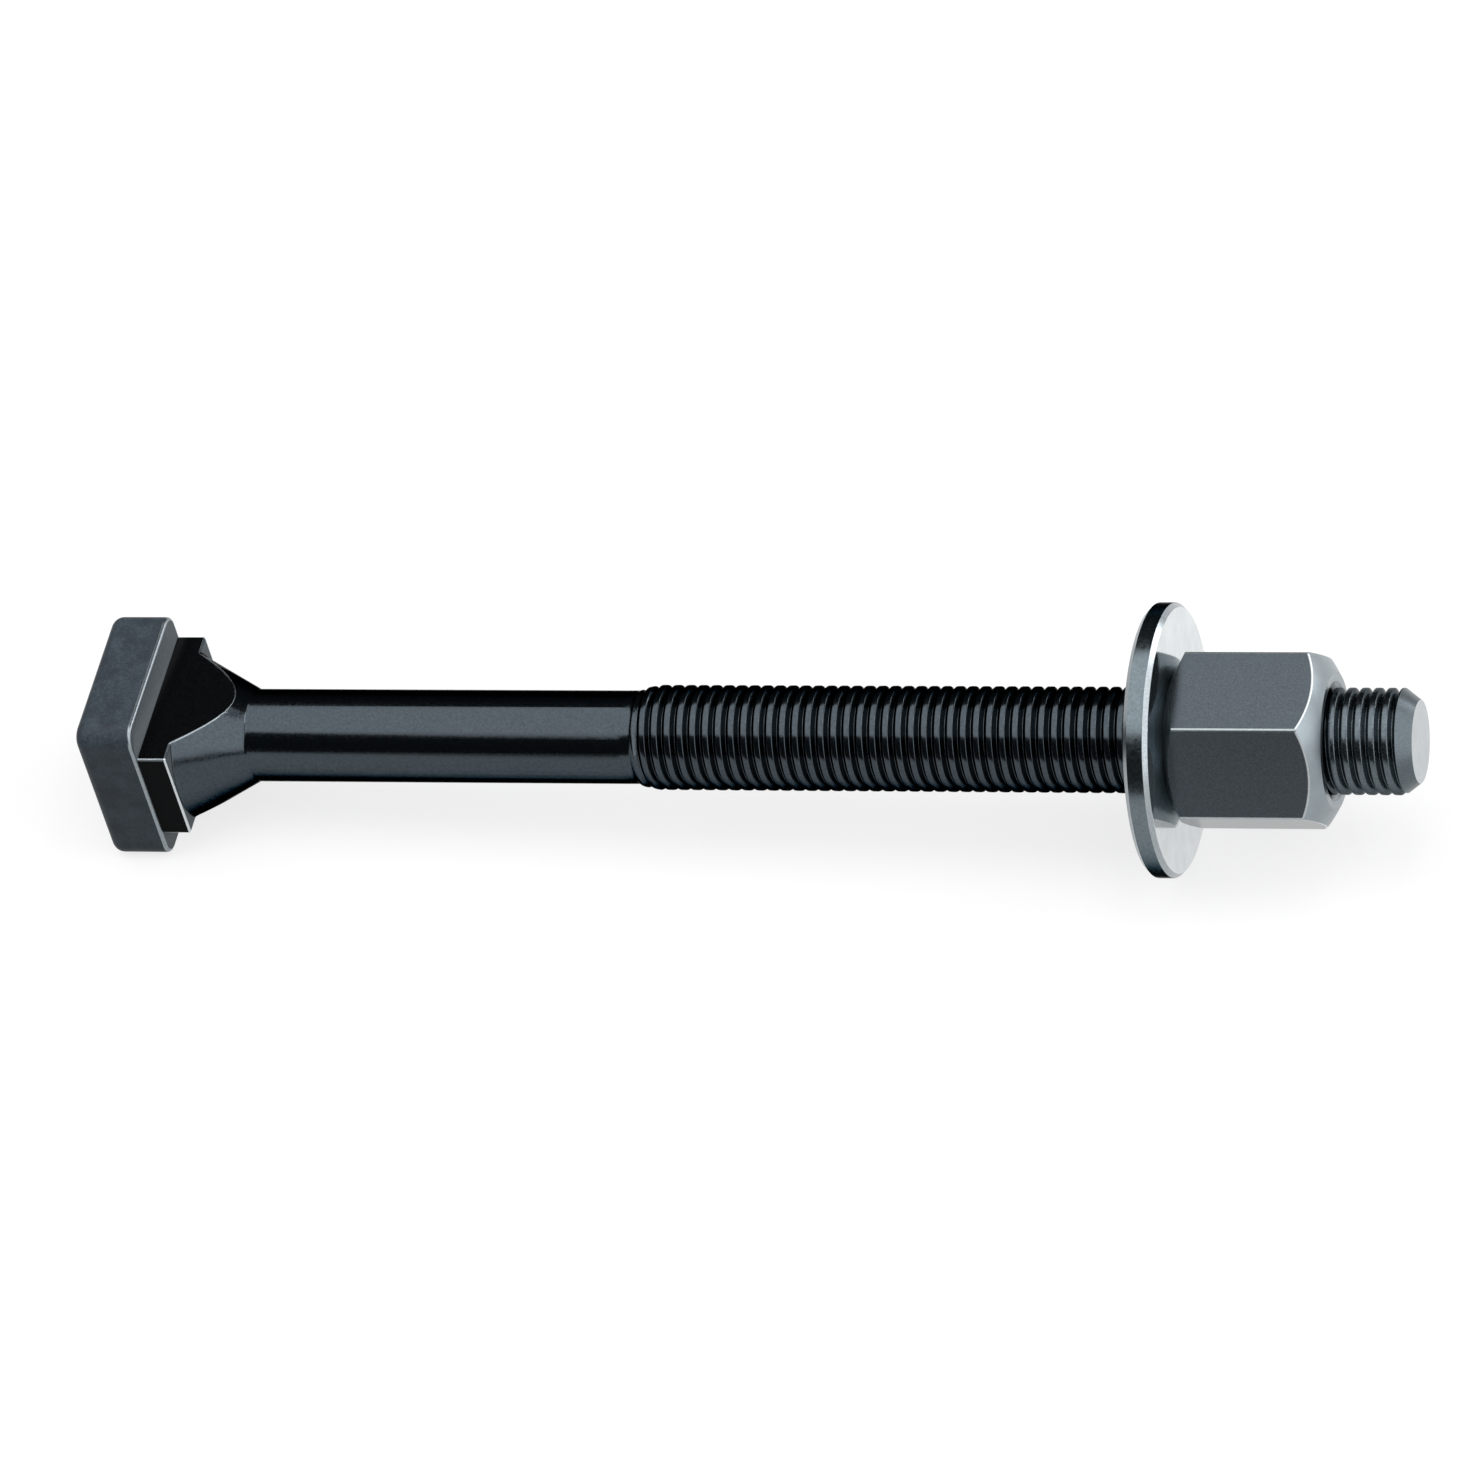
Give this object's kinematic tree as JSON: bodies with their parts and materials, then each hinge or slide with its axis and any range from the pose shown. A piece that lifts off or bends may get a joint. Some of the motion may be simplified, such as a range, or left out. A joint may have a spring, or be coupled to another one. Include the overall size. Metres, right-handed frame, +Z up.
{
  "type": "t slot bolt",
  "caption": "Forged square-head T slot bolt with two neck flats, a cone, a plain shank and a long thread, carrying a thick flat washer and a spherical-ended hexagon nut.",
  "frame": {"origin": "On the surface that the part lies on, below the middle of its bounding box.", "axes": "Z is up. The bolt lies along X with its head at -X and its threaded end at +X, which stands a little higher. Y runs across the head, level with the surface."},
  "size_m": [0.2566, 0.0512, 0.0513],
  "materials": {
    "t_slot_bolt": "black oxide on forged and rolled steel",
    "flat_washer": "turned steel, lightly oxidised",
    "hex_nut": "black oxide on turned steel"
  },
  "bodies": {
    "bolt": {"t_slot_bolt": "t_slot_bolt"},
    "washer": {"flat_washer": "flat_washer"},
    "nut": {"hex_nut": "hex_nut"}
  },
  "joints": [
    {"name": "washer_travel", "type": "slide", "parent": "bolt", "child": "washer", "axis": [0.9991, 0, 0.0423], "range_m": [-0.10191, 0.01311]},
    {"name": "nut_turn", "type": "hinge", "parent": "washer", "child": "nut", "pos_m": [0.09721, 0, 0.02636], "axis": [0.9991, 0, 0.0423], "range_deg": [-14674, 1886]}
  ],
  "couplings": [
    {"joint": "washer_travel", "follows": "nut_turn", "m_per_rad": 0.00039789}
  ]
}
